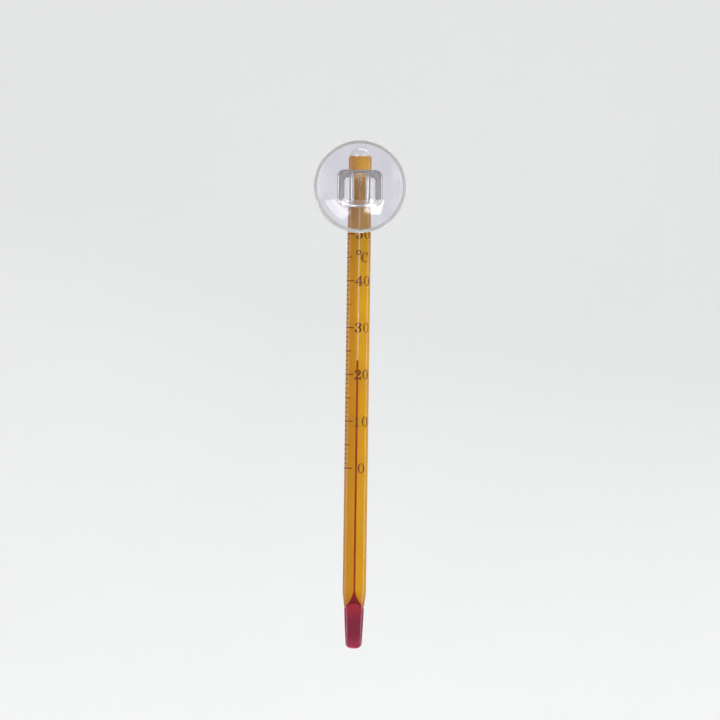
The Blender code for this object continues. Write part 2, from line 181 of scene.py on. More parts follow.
class CupSettings(bpy.types.PropertyGroup):
    """Sizes and colours of the soft suction cup."""

    hollow_depth: a_length("Hollow depth", "Depth of the hollow that grips the pane", 6.0 * MM)
    lip_width: a_length("Lip width", "Width of the flat ring that touches the pane", 0.9 * MM)
    lip_thickness: a_length("Lip thickness", "Thickness of the cup's edge", 0.6 * MM)
    bore_gap: a_length("Bore gap", "Gap between the stem and the collar's bore", 0.1 * MM)
    edge_radius: a_length("Back edge radius", "Radius of the collar's rounded back edges", 1.7 * MM)
    corner_radius: a_length("Corner radius", "Radius of the collar's four corners", 1.5 * MM)
    fillet: a_length("Fillet", "Radius of the rounded foot where the collar meets the dish", 0.9 * MM)
    gate_radius: a_length(
        "Gate radius", "Radius of the dimple that the mould's gate leaves on the collar's back", 1.2 * MM
    )
    gate_depth: a_length("Gate depth", "Depth of that dimple", 0.35 * MM)
    bubbles: IntProperty(
        name="Bubbles", description="Number of tiny bubbles caught in the plastic", default=24, min=1, max=60
    )
    colour: a_colour("Plastic colour", "Colour of the tinted plastic of the dish", (0.83, 0.81, 0.86))
    clear_colour: a_colour(
        "Clear colour", "Colour of the plastic of the lip and the collar", (0.97, 0.96, 0.97)
    )


class StageSettings(bpy.types.PropertyGroup):
    """Backdrop and camera."""

    camera_distance: a_length("Camera distance", "Distance from the camera to the stem", 0.60)
    view_width: a_length("View width", "Width of the view at the stem", 0.216)
    view_height: a_length("View height", "Height of the middle of the view", -0.05095)
    view_shift: a_length("View shift", "Sideways place of the middle of the view", 0.00075)
    camera_roll: an_angle("Camera roll", "Tilt of the camera about its own line of sight", 0.8)
    floor_height: a_length("Floor height", "Height of the floor under the hanging thermometer", -0.60)
    room_radius: a_length("Room radius", "Radius of the round backdrop", 1.7)
    backdrop_colour: a_colour("Backdrop colour", "Colour of the floor and the backdrop", (0.72, 0.72, 0.715))


# ---------------------------------------------------------------- modelling helpers


def deselect():
    bpy.ops.object.select_all(action="DESELECT")


def make_active(obj):
    deselect()
    obj.select_set(True)
    bpy.context.view_layer.objects.active = obj


def apply_place(obj):
    """Leaves the object at the origin, unturned and unscaled, with its place in its mesh."""
    make_active(obj)
    bpy.ops.object.transform_apply(location=True, rotation=True, scale=True)


def apply_modifier(obj, modifier):
    make_active(obj)
    bpy.ops.object.modifier_apply(modifier=modifier.name)


def edit_all(obj):
    """Starts edit mode with the whole of the object selected."""
    make_active(obj)
    bpy.ops.object.mode_set(mode="EDIT")
    bpy.ops.mesh.select_all(action="SELECT")


def close_edit():
    """Turns every face outward and leaves edit mode."""
    bpy.ops.mesh.select_all(action="SELECT")
    bpy.ops.mesh.normals_make_consistent(inside=False)
    bpy.ops.object.mode_set(mode="OBJECT")


def sweep(function, start, end, count):
    """Values of a function at evenly spaced places from start to end, both included."""
    return [function(start + (end - start) * step / count) for step in range(count + 1)]


def raised_shell(name, rings, segments, centre, along="Z"):
    """A closed round shell: a disc that is extruded ring by ring.

    Each ring is a radius and a place along the axis.
    """
    deselect()
    direction = Vector((0, 0, 1)) if along == "Z" else Vector((0, 1, 0))
    turn = (0, 0, 0) if along == "Z" else (-math.pi / 2, 0, 0)
    radius, place = rings[0]
    bpy.ops.mesh.primitive_circle_add(
        vertices=segments,
        radius=radius,
        fill_type="TRIFAN",
        location=Vector(centre) + direction * place,
        rotation=turn,
    )
    shell = bpy.context.object
    shell.name = name
    edit_all(shell)
    for next_radius, next_place in rings[1:]:
        step = direction * (next_place - place)
        bpy.ops.mesh.extrude_region_move(TRANSFORM_OT_translate={"value": step})
        grow = next_radius / radius
        bpy.ops.transform.resize(value=(grow, grow, 1) if along == "Z" else (grow, 1, grow))
        radius, place = next_radius, next_place
    close_edit()
    apply_place(shell)
    return shell


def combine(target, other, operation):
    """Joins the other solid to the target, or cuts it away, and removes it."""
    boolean = target.modifiers.new("combine", "BOOLEAN")
    boolean.operation = operation
    boolean.object = other
    boolean.solver = "EXACT"
    apply_modifier(target, boolean)
    bpy.data.objects.remove(other, do_unlink=True)


def weld(obj, gap=0.001 * MM):
    """Closes the hair-thin seams that a cut leaves, and turns the faces outward."""
    edit_all(obj)
    bpy.ops.mesh.remove_doubles(threshold=gap)
    close_edit()


def smooth(obj, degrees):
    make_active(obj)
    bpy.ops.object.shade_smooth_by_angle(angle=math.radians(degrees))


def join(target, others):
    make_active(target)
    for other in others:
        other.select_set(True)
    bpy.ops.object.join()


def give(obj, material):
    obj.data.materials.clear()
    obj.data.materials.append(material)


# ---------------------------------------------------------------- material helpers


def new_material(name):
    material = bpy.data.materials.new(name)
    material.use_nodes = True
    return material, material.node_tree, material.node_tree.nodes["Principled BSDF"]


def object_noise(tree, scale, detail, stretch=(1, 1, 1)):
    """A noise on the object's own coordinates, stretched along each axis."""
    coordinates = tree.nodes.new("ShaderNodeTexCoord")
    mapping = tree.nodes.new("ShaderNodeMapping")
    mapping.inputs["Scale"].default_value = stretch
    noise = tree.nodes.new("ShaderNodeTexNoise")
    noise.inputs["Scale"].default_value = scale
    noise.inputs["Detail"].default_value = detail
    tree.links.new(coordinates.outputs["Object"], mapping.inputs["Vector"])
    tree.links.new(mapping.outputs["Vector"], noise.inputs["Vector"])
    return noise.outputs["Fac"]


def object_axes(tree):
    """The X, Y and Z of the object's own coordinates."""
    place = tree.nodes.new("ShaderNodeTexCoord")
    parts = tree.nodes.new("ShaderNodeSeparateXYZ")
    tree.links.new(place.outputs["Object"], parts.inputs["Vector"])
    return parts.outputs["X"], parts.outputs["Y"], parts.outputs["Z"]


def combined(tree, operation, *values):
    """The result of a maths operation on sockets and numbers."""
    node = tree.nodes.new("ShaderNodeMath")
    node.operation = operation
    for index, value in enumerate(values):
        if isinstance(value, (int, float)):
            node.inputs[index].default_value = value
        else:
            tree.links.new(value, node.inputs[index])
    return node.outputs["Value"]


def soft_step(tree, value, start, end):
    """0 below the start, 1 above the end and a smooth rise between them."""
    step = tree.nodes.new("ShaderNodeMapRange")
    step.interpolation_type = "SMOOTHSTEP"
    step.inputs["From Min"].default_value = start
    step.inputs["From Max"].default_value = end
    tree.links.new(value, step.inputs["Value"])
    return step.outputs["Result"]


def value_between(tree, noise, low, high):
    """A noise, which lies mostly from 0.3 to 0.7, spread over the values from low to high."""
    span = tree.nodes.new("ShaderNodeMapRange")
    span.inputs["From Min"].default_value = 0.3
    span.inputs["From Max"].default_value = 0.7
    span.inputs["To Min"].default_value = low
    span.inputs["To Max"].default_value = high
    tree.links.new(noise, span.inputs["Value"])
    return span.outputs["Result"]


def colour_between(tree, factor, low, high, start=0.35, end=0.65):
    """The low colour where the factor is under the start, and the high one where it is over the end."""
    ramp = tree.nodes.new("ShaderNodeValToRGB")
    ramp.color_ramp.elements[0].position = start
    ramp.color_ramp.elements[0].color = (*low, 1.0)
    ramp.color_ramp.elements[1].position = end
    ramp.color_ramp.elements[1].color = (*high, 1.0)
    tree.links.new(factor, ramp.inputs["Fac"])
    return ramp.outputs["Color"]


def mixed(tree, factor, first, second):
    """The first colour, which is a socket, where the factor is 0, and the second one where it is 1."""
    mix = tree.nodes.new("ShaderNodeMix")
    mix.data_type = "RGBA"
    mix.inputs["B"].default_value = (*second, 1.0)
    tree.links.new(factor, mix.inputs["Factor"])
    tree.links.new(first, mix.inputs["A"])
    return mix.outputs["Result"]


def bump_from(tree, height, strength, distance):
    bump = tree.nodes.new("ShaderNodeBump")
    bump.inputs["Strength"].default_value = strength
    bump.inputs["Distance"].default_value = distance
    tree.links.new(height, bump.inputs["Height"])
    return bump.outputs["Normal"]


# ---------------------------------------------------------------- materials


def glass_material(glass):
    """Clear drawn glass, with very faint lines along the stem."""
    material, tree, shader = new_material("stem_glass")
    shader.inputs["Base Color"].default_value = (*glass.tint, 1.0)
    shader.inputs["Transmission Weight"].default_value = 1.0
    shader.inputs["IOR"].default_value = GLASS_BEND
    shader.inputs["Roughness"].default_value = 0.0
    draw_lines = object_noise(tree, scale=1100.0, detail=2.0, stretch=(1, 1, 0.002))
    relief = bump_from(tree, draw_lines, strength=0.012, distance=0.02 * MM)
    tree.links.new(relief, shader.inputs["Normal"])
    return material


def enamel_material(enamel):
    """Opaque yellow enamel with streaks and a fine grain, and painted shade that darkens the left side of the
    strip, as if lit from the right.
    """
    material, tree, shader = new_material("yellow_enamel")
    streaks = object_noise(tree, scale=1500.0, detail=3.0, stretch=(1, 1, 0.012))
    # Painted shade: the strip is darker on its left side and lighter on its right, as if lit from the right.
    right_side_lit = soft_step(tree, object_axes(tree)[0], start=-0.6 * MM, end=0.5 * MM)
    painted_side_light = combined(tree, "MULTIPLY", right_side_lit, 0.75)
    streaks_and_painted_side_light = combined(tree, "MULTIPLY_ADD", streaks, 0.5, painted_side_light)
    body = colour_between(tree, streaks_and_painted_side_light, enamel.shade, enamel.colour, start=0.12, end=1.0)
    tree.links.new(body, shader.inputs["Base Color"])
    grain = object_noise(tree, scale=5200.0, detail=3.0)
    tree.links.new(value_between(tree, grain, low=0.35, high=0.6), shader.inputs["Roughness"])
    relief = bump_from(tree, grain, strength=0.2, distance=0.02 * MM)
    tree.links.new(relief, shader.inputs["Normal"])
    shader.inputs["Specular IOR Level"].default_value = 0.0
    return material


def bulb_spirit_material(spirit):
    """Dyed spirit that light passes through: paler in the thin end, and brighter in the mouth of the bore.

    Its IOR is 1, because the glass round it already bends the light.
    """
    material, tree, shader = new_material("spirit_in_bulb")
    swirl = object_noise(tree, scale=260.0, detail=2.0, stretch=(1, 1, 0.3))
    height = object_axes(tree)[2]
    above_tip = soft_step(tree, height, start=BULB_TIP + 0.5 * MM, end=BULB_TIP + 5.0 * MM)
    thinness = combined(tree, "ADD", combined(tree, "MULTIPLY", above_tip, -0.55), 0.55)
    thinness = combined(tree, "MULTIPLY_ADD", swirl, 0.5, thinness)
    pale = tuple(min(1.0, 1.7 * part + 0.03) for part in spirit.bulb_colour)
    body = colour_between(tree, thinness, spirit.bulb_colour, pale, start=0.15, end=0.85)
    near_mouth = soft_step(tree, height, start=BULB_TOP - 3.5 * MM, end=BULB_TOP + 1.2 * MM)
    tree.links.new(mixed(tree, near_mouth, body, spirit.mouth_colour), shader.inputs["Base Color"])
    shader.inputs["Transmission Weight"].default_value = 0.86
    shader.inputs["Roughness"].default_value = 0.0
    shader.inputs["IOR"].default_value = 1.0
    return material


def thread_spirit_material(spirit):
    """Dyed spirit in the bore, which the glass shows as one opaque line."""
    material, tree, shader = new_material("spirit_in_bore")
    cloud = object_noise(tree, scale=900.0, detail=2.0, stretch=(1, 1, 0.2))
    deep = tuple(0.75 * part for part in spirit.thread_colour)
    tree.links.new(colour_between(tree, cloud, deep, spirit.thread_colour), shader.inputs["Base Color"])
    shader.inputs["Roughness"].default_value = 0.25
    shader.inputs["Specular IOR Level"].default_value = 0.05
    return material


def ink_material(printed):
    """Fired ink, dark brown, thinner and duller where it is worn."""
    material, tree, shader = new_material("fired_ink")
    wear = object_noise(tree, scale=2600.0, detail=4.0)
    worn = tuple(2.4 * part for part in printed.colour)
    body = colour_between(tree, wear, printed.colour, worn, start=0.45, end=0.75)
    tree.links.new(body, shader.inputs["Base Color"])
    tree.links.new(value_between(tree, wear, low=0.45, high=0.7), shader.inputs["Roughness"])
    relief = bump_from(tree, wear, strength=0.35, distance=0.02 * MM)
    tree.links.new(relief, shader.inputs["Normal"])
    shader.inputs["Specular IOR Level"].default_value = 0.25
    return material


def cup_regions(tree, cup):
    """Three masks of the cup: its lip, its collar and the rounded border of the collar."""
    x, y, z = object_axes(tree)
    squares = combined(tree, "MULTIPLY_ADD", x, x, combined(tree, "MULTIPLY", z, z))
    radius = combined(tree, "SQRT", squares)
    lip_edge = DISH_RADIUS - cup.lip_width
    lip = soft_step(tree, radius, start=lip_edge - 0.2 * MM, end=lip_edge + 0.2 * MM)
    collar = soft_step(tree, y, start=DISH_BACK, end=DISH_BACK + 0.8 * MM)
    edges = [
        soft_step(tree, combined(tree, "ABSOLUTE", along), start=half - 1.9 * MM, end=half - 1.4 * MM)
        for along, half in ((x, COLLAR_HALF_WIDTH), (z, COLLAR_HALF_HEIGHT))
    ]
    border = combined(tree, "MULTIPLY", combined(tree, "MAXIMUM", *edges), collar)
    return lip, collar, border


def plastic_material(cup):
    """Soft clear plastic: tinted in the dish, milky in the lip and frosted (rough) in the collar's rounded
    border, where a painted highlight also whitens it in place of the light that its rounded edges bend.
    """
    material, tree, shader = new_material("soft_clear_plastic")
    lip, collar, border = cup_regions(tree, cup)
    haze = object_noise(tree, scale=170.0, detail=3.0)
    dull = tuple(0.90 * part for part in cup.colour)
    dish = colour_between(tree, haze, dull, cup.colour)
    untinted = combined(tree, "MAXIMUM", lip, collar)
    tree.links.new(mixed(tree, untinted, dish, cup.clear_colour), shader.inputs["Base Color"])

    skin = value_between(tree, object_noise(tree, scale=420.0, detail=4.0), low=0.02, high=0.11)
    frosted = combined(tree, "MULTIPLY_ADD", border, 0.28, skin)
    tree.links.new(combined(tree, "MULTIPLY_ADD", lip, 0.08, frosted), shader.inputs["Roughness"])
    milky = combined(tree, "MULTIPLY_ADD", lip, -0.22, 0.98)
    # Painted highlight: the border is made less clear and so whiter, in place of the bright light that the
    # collar's rounded back edges bend.
    clearness_with_painted_highlight = combined(tree, "MULTIPLY_ADD", border, -0.14, milky)
    tree.links.new(clearness_with_painted_highlight, shader.inputs["Transmission Weight"])
    ripple = object_noise(tree, scale=240.0, detail=2.0)
    relief = bump_from(tree, ripple, strength=0.12, distance=0.06 * MM)
    tree.links.new(relief, shader.inputs["Normal"])
    shader.inputs["IOR"].default_value = PLASTIC_BEND
    return material


def bubble_material():
    """The bright wall of a bubble caught in the plastic."""
    material, tree, shader = new_material("plastic_bubble")
    shader.inputs["Base Color"].default_value = (0.95, 0.95, 0.97, 1.0)
    shader.inputs["Transmission Weight"].default_value = 0.7
    glint = object_noise(tree, scale=900.0, detail=1.0)
    tree.links.new(value_between(tree, glint, low=0.02, high=0.15), shader.inputs["Roughness"])
    return material


def backdrop_material(stage):
    """Matt pale paper, very slightly mottled."""
    material, tree, shader = new_material("pale_backdrop")
    mottle = object_noise(tree, scale=3.0, detail=3.0)
    light = tuple(stage.backdrop_colour)
    soft = tuple(0.985 * part for part in light)
    tree.links.new(colour_between(tree, mottle, soft, light), shader.inputs["Base Color"])
    shader.inputs["Roughness"].default_value = 0.9
    shader.inputs["Specular IOR Level"].default_value = 0.1
    return material


# ---------------------------------------------------------------- profiles


def shoulder_ring(glass, height):
    """(radius, height) of the stem's outside where it narrows to the bulb, as half of a cosine wave."""
    drawn = (BULB_TOP + glass.shoulder_length - height) / glass.shoulder_length
    radius = STEM_RADIUS + (BULB_TOP_RADIUS - STEM_RADIUS) * (1 - math.cos(math.pi * drawn)) / 2
    return radius, height


def nose_rings(glass, inset, count):
    """Rings of the bulb's rounded end, this far inside the glass, from the tip up."""
    radius = glass.bulb_low_radius - inset
    start = BULB_TIP + glass.bulb_nose_length
    length = glass.bulb_nose_length - inset
    power = 2 / glass.bulb_end_squareness

    def ring(turn):
        return radius * math.sin(turn) ** power, start - length * max(math.cos(turn), 0.0) ** power

    return sweep(ring, math.radians(1.5), math.pi / 2, count)


def bulb_side_rings(glass, inset, count):
    """Rings of the bulb's slightly swollen side, this far inside the glass, above those of its end."""
    low = glass.bulb_low_radius - inset
    top = BULB_TOP_RADIUS - inset
    start = BULB_TIP + glass.bulb_nose_length
    most_swell = 0.03 * MM

    def ring(share):
        swell = most_swell * math.sin(math.pi * share)
        return low + (top - low) * share + swell, start + (BULB_TOP - start) * share

    return sweep(ring, 0.0, 1.0, count)[1:]


def mouth_rings(glass, count):
    """Rings of the cavity where the bulb narrows to the bore, from the bulb up."""
    flare = BULB_TOP_RADIUS - glass.bulb_wall - glass.bore_radius
    length = MOUTH_TOP - BULB_TOP

    def ring(share):
        return glass.bore_radius + flare * (1 - share) ** 2, BULB_TOP + length * share

    return sweep(ring, 0.0, 1.0, count)[1:]


def ball_through(apex, edge_radius, edge_depth):
    """Radius and centre depth of the ball through this apex and this circle."""
    rise = apex - edge_depth
    ball = (edge_radius**2 + rise**2) / (2 * rise)
    return ball, apex - ball


def dish_back_depth(cup, radius):
    """Depth of the dish's rounded back at this distance from its axis."""
    ball, centre = ball_through(DISH_BACK, DISH_RADIUS, cup.lip_thickness)
    return centre + math.sqrt(ball**2 - radius**2)


# ---------------------------------------------------------------- operators


class THERMOMETER_OT_glass_body(bpy.types.Operator):
    """Model the glass stem and bulb as one drawn piece with its bore and safety chamber"""

    bl_idname = "thermometer.glass_body"
    bl_label = "Glass stem and bulb"

    def execute(self, context):
        glass = context.scene.thermometer_glass
        body = raised_shell("glass_body", self.outside_rings(glass), glass.segments, STEM_AXIS)
        cavity = raised_shell("bore_cavity", self.bore_rings(glass), 32, STEM_AXIS)
        edit_all(cavity)
        bpy.ops.mesh.flip_normals()
        bpy.ops.object.mode_set(mode="OBJECT")
        join(body, [cavity])
        smooth(body, 40)
        give(body, glass_material(glass))
        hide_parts("glass_stem", "glass_bulb")
        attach(body, "stem")
        return {"FINISHED"}

    def outside_rings(self, glass):
        """Rings of the glass from the bulb's tip, past the shoulder, to the melted round top of the stem."""
        rings = nose_rings(glass, 0.0, 14) + bulb_side_rings(glass, 0.0, 8)
        shoulder_top = BULB_TOP + glass.shoulder_length
        rings += sweep(lambda height: shoulder_ring(glass, height), BULB_TOP, shoulder_top, 16)[1:]
        dome = STEM_RADIUS * 0.9
        return rings + sweep(
            lambda turn: (STEM_RADIUS * math.cos(turn), STEM_TOP - dome * (1 - math.sin(turn))),
            0.0,
            math.radians(88),
            16,
        )

    def bore_rings(self, glass):
        """Rings of the bore and of the safety chamber above it, both ends drawn to a point."""
        point = 0.02 * MM

        def chamber_ring(turn):
            widening = (glass.chamber_radius - glass.bore_radius) * math.sin(turn)
            return glass.bore_radius + widening, glass.chamber_low + glass.chamber_length * turn / math.pi

        rings = [(point, MOUTH_TOP - 0.2 * MM), (glass.bore_radius, MOUTH_TOP)]
        rings += sweep(chamber_ring, 0.0, math.radians(165), 14)
        return rings + [(point, glass.chamber_low + glass.chamber_length)]


class THERMOMETER_OT_bulb_spirit(bpy.types.Operator):
    """Fill the bulb and the flared mouth of the bore with dyed spirit"""

    bl_idname = "thermometer.bulb_spirit"
    bl_label = "Spirit in the bulb"

    def execute(self, context):
        glass = context.scene.thermometer_glass
        wall = glass.bulb_wall
        rings = nose_rings(glass, wall, 12) + bulb_side_rings(glass, wall, 8) + mouth_rings(glass, 24)
        rings.append((0.05 * MM, MOUTH_TOP + 0.25 * MM))
        filling = raised_shell("spirit_filling", rings, 96, STEM_AXIS)
        smooth(filling, 60)
        give(filling, bulb_spirit_material(context.scene.thermometer_spirit))
        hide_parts("spirit_reservoir")
        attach(filling, "spirit")
        return {"FINISHED"}


class THERMOMETER_OT_spirit_thread(bpy.types.Operator):
    """Raise the thread of spirit in the bore, up to its hollow meniscus"""

    bl_idname = "thermometer.spirit_thread"
    bl_label = "Spirit in the bore"

    def execute(self, context):
        spirit = context.scene.thermometer_spirit
        radius = context.scene.thermometer_glass.bore_radius + spirit.overlap
        foot = MOUTH_TOP - 1.2 * MM
        rings = [(0.3 * radius, foot)]
        rings += sweep(lambda height: (radius, height), foot + 0.2 * MM, COLUMN_FOOT, 56)
        rings += sweep(lambda height: (radius, height), COLUMN_FOOT, READING, 6)[1:]
        rings += sweep(
            lambda share: (radius * share, READING - spirit.meniscus_depth * (1 - share**2)),
            0.88,
            0.08,
            5,
        )
        thread = raised_shell("spirit_thread_line", rings, 24, STEM_AXIS)
        smooth(thread, 60)
        give(thread, thread_spirit_material(spirit))
        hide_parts("spirit_thread", "spirit_column_top")
        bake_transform(thread)
        return {"FINISHED"}


class THERMOMETER_OT_enamel(bpy.types.Operator):
    """Finish the enamel strip behind the bore"""

    bl_idname = "thermometer.enamel"
    bl_label = "Enamel strip"

    def execute(self, context):
        give(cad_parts["enamel_strip"], enamel_material(context.scene.thermometer_enamel))
        return {"FINISHED"}


class THERMOMETER_OT_scale_print(bpy.types.Operator):
    """Finish the printed figures and long marks, and add the mark at each single degree"""

    bl_idname = "thermometer.scale_print"
    bl_label = "Printed scale"

    def execute(self, context):
        printed = context.scene.thermometer_print
        ink = ink_material(printed)
        for name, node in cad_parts.items():
            if name.startswith(("mark_", "figure_")):
                give(node, ink)
        first = self.fine_mark(printed)
        others = []
        for degree in range(2, 50):
            if degree % 5:
                mark = first.copy()
                mark.data = first.data.copy()
                mark.location.z = (degree - 1) * DEGREE
                context.scene.collection.objects.link(mark)
                others.append(mark)
        join(first, others)
        apply_place(first)
        give(first, ink)
        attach(first, "stem")
        return {"FINISHED"}

    def fine_mark(self, printed):
        """The mark at one degree: a small upright face spun round the stem."""
        deselect()
        radius = STEM_RADIUS + printed.lift + printed.thickness / 2
        turn = printed.mark_start
        place = STEM_AXIS + Vector((math.sin(turn) * radius, -math.cos(turn) * radius, ZERO_HEIGHT + DEGREE))
        upright = (math.pi / 2, 0, turn + math.pi / 2)
        bpy.ops.mesh.primitive_plane_add(size=1, location=place, rotation=upright)
        mark = bpy.context.object
        mark.name = "marks_single_degrees"
        mark.scale = (printed.thickness, printed.fine_mark_width, 1)
        apply_place(mark)
        edit_all(mark)
        turned = printed.mark_start - printed.fine_mark_end
        bpy.ops.mesh.spin(steps=10, angle=turned, center=STEM_AXIS, axis=(0, 0, 1))
        close_edit()
        return mark


class THERMOMETER_OT_suction_cup(bpy.types.Operator):
    """Mould the suction cup: a hollow dish with a collar for the stem behind it"""

    bl_idname = "thermometer.suction_cup"
    bl_label = "Suction cup"

    def execute(self, context):
        cup = context.scene.thermometer_cup
        moulding = self.dish_blank(cup)
        combine(moulding, self.collar_blank(cup), "UNION")
        combine(moulding, self.hollow_cutter(cup), "DIFFERENCE")
        combine(moulding, self.bore_cutter(cup), "DIFFERENCE")
        combine(moulding, self.gate_dimple(cup), "DIFFERENCE")
        combine(moulding, self.gate_stub(cup), "UNION")
        weld(moulding)
        smooth(moulding, 32)
        give(moulding, plastic_material(cup))
        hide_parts("suction_dish", "stem_collar")
        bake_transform(moulding)
        return {"FINISHED"}

    def dish_blank(self, cup):
        """The dish before it is hollowed: a flat front, a rounded edge and a back that follows a ball."""
        edge = 0.15 * MM
        rings = [(0.5 * MM, 0.0), (DISH_RADIUS - 0.6 * cup.lip_width, 0.0)]
        rings += sweep(
            lambda turn: (DISH_RADIUS - edge + edge * math.sin(turn), edge - edge * math.cos(turn)),
            0.0,
            math.pi / 2,
            4,
        )
        back_start = DISH_RADIUS - 0.25 * MM
        rings.append((DISH_RADIUS, cup.lip_thickness * 0.72))
        rings.append((DISH_RADIUS - 0.08 * MM, cup.lip_thickness * 0.92))
        rings += sweep(
            lambda radius: (radius, dish_back_depth(cup, radius)),
            back_start,
            0.6 * MM,
            44,
        )
        return raised_shell("suction_cup_body", rings, 144, (0, 0, 0), "Y")

    def hollow_cutter(self, cup):
        """The slice of a ball that hollows the dish. It goes a little past the front."""
        mouth_radius = DISH_RADIUS - cup.lip_width
        ball, centre = ball_through(cup.hollow_depth, mouth_radius, 0.0)
        reach = math.asin(mouth_radius / ball)
        rings = sweep(
            lambda turn: (ball * math.sin(turn), centre + ball * math.cos(turn)),
            math.radians(2),
            reach * 1.03,
            40,
        )
        return raised_shell("hollow_cutter", rings, 144, (0, 0, 0), "Y")

    def collar_outline(self, cup):
        """The outline of the collar's foot: a flat plate with round corners and many points on its edges."""
        deselect()
        bpy.ops.mesh.primitive_plane_add(size=2, location=(0, 0, 0), rotation=(-math.pi / 2, 0, 0))
        plate = bpy.context.object
        plate.name = "collar_blank"
        plate.scale = (COLLAR_HALF_WIDTH + cup.fillet, COLLAR_HALF_HEIGHT + cup.fillet, 1)
        apply_place(plate)
        edit_all(plate)
        bpy.ops.mesh.bevel(offset=cup.corner_radius + cup.fillet, segments=8, affect="VERTICES")
        bpy.ops.mesh.select_all(action="SELECT")
        bpy.ops.mesh.subdivide(number_cuts=9)
        bpy.ops.object.mode_set(mode="OBJECT")
        return plate

    def collar_blank(self, cup):
        """The collar before its bore is cut. Its foot follows the back of the dish, with a fillet."""
        foot, reach, edge = 2.0 * MM, cup.fillet, cup.edge_radius
        steps = [(reach, foot / 2)]
        steps += sweep(
            lambda turn: (reach * (1 - math.sin(turn)), foot + reach * (1 - math.cos(turn))),
            math.radians(20),
            math.pi / 2,
            6,
        )
        steps.append((0.0, DISH_BACK + 0.4 * MM))
        steps += sweep(
            lambda turn: (-edge * (1 - math.cos(turn)), COLLAR_BACK - edge * (1 - math.sin(turn))),
            0.0,
            math.pi / 2,
            9,
        )
        collar = self.collar_outline(cup)
        edit_all(collar)
        grown, place = reach, 0.0
        for next_grown, next_place in steps:
            bpy.ops.mesh.extrude_region_move(TRANSFORM_OT_translate={"value": (0, next_place - place, 0)})
            wide = (COLLAR_HALF_WIDTH + next_grown) / (COLLAR_HALF_WIDTH + grown)
            tall = (COLLAR_HALF_HEIGHT + next_grown) / (COLLAR_HALF_HEIGHT + grown)
            bpy.ops.transform.resize(value=(wide, 1, tall))
            grown, place = next_grown, next_place
        close_edit()
        foot_low, foot_high = 0.75 * foot, foot + 1.01 * reach
        sunk = 0.05 * MM
        for vertex in collar.data.vertices:
            if foot_low < vertex.co.y < foot_high:
                radius = math.hypot(vertex.co.x, vertex.co.z)
                vertex.co.y += dish_back_depth(cup, radius) - (foot + sunk)
        return collar

    def gate_dimple(self, cup):
        """The shallow round hollow on the collar's back, where the plastic entered the mould."""
        rings = [
            (cup.gate_radius - 0.2 * MM, COLLAR_BACK - cup.gate_depth),
            (cup.gate_radius, COLLAR_BACK - 0.4 * cup.gate_depth),
            (cup.gate_radius + 0.25 * MM, COLLAR_BACK + 0.3 * MM),
        ]
        return raised_shell("gate_dimple", rings, 40, (0, 0, 0), "Y")

    def gate_stub(self, cup):
        """What is left of the sprue, in the middle of the dimple."""
        rings = [
            (0.45 * MM, COLLAR_BACK - 0.8 * MM),
            (0.38 * MM, COLLAR_BACK - 0.4 * cup.gate_depth),
            (0.26 * MM, COLLAR_BACK - 0.2 * cup.gate_depth),
        ]
        return raised_shell("gate_stub", rings, 24, (0, 0, 0), "Y")

    def bore_cutter(self, cup):
        """The hole for the stem, flared where it leaves the collar at either end."""
        radius = STEM_RADIUS + cup.bore_gap
        flare = 0.35 * MM
        clear = 0.03 * MM

        def mouth(side):
            return sweep(
                lambda turn: (
                    radius + flare * (1 - math.sin(turn)),
                    side * (COLLAR_HALF_HEIGHT + clear - flare * (1 - math.cos(turn))),
                ),
                0.0,
                math.pi / 2,
                5,
            )

        past = COLLAR_HALF_HEIGHT + MM
        rings = [(radius + flare, -past)] + mouth(-1) + mouth(1)[::-1] + [(radius + flare, past)]
        return raised_shell("bore_cutter", rings, 96, STEM_AXIS)


class THERMOMETER_OT_bubbles(bpy.types.Operator):
    """Scatter a few tiny bubbles inside the wall of the cup"""

    bl_idname = "thermometer.bubbles"
    bl_label = "Bubbles in the plastic"

    def execute(self, context):
        cup = context.scene.thermometer_cup
        pieces = [self.bubble(cup, index) for index in range(cup.bubbles)]
        bubbles = pieces[0]
        bubbles.name = "cup_bubbles"
        join(bubbles, pieces[1:])
        smooth(bubbles, 80)
        give(bubbles, bubble_material())
        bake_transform(bubbles)
        return {"FINISHED"}

    def bubble(self, cup, index):
        """One bubble just under the dish's back. Its place, size and stretch follow from its number."""
        turn = index * GOLDEN_ANGLE
        radius = DISH_RADIUS * (0.42 + 0.45 * ((index * 0.618) % 1.0))
        depth = dish_back_depth(cup, radius) - (0.55 + 0.35 * math.sin(index)) * MM
        deselect()
        bpy.ops.mesh.primitive_ico_sphere_add(
            subdivisions=2,
            radius=(0.08 + 0.09 * ((index * 0.377) % 1.0)) * MM,
            location=(radius * math.cos(turn), depth, radius * math.sin(turn)),
        )
        bubble = bpy.context.object
        bubble.scale = (1, 1, 1.0 + 0.5 * ((index * 0.23) % 1.0))
        apply_place(bubble)
        return bubble


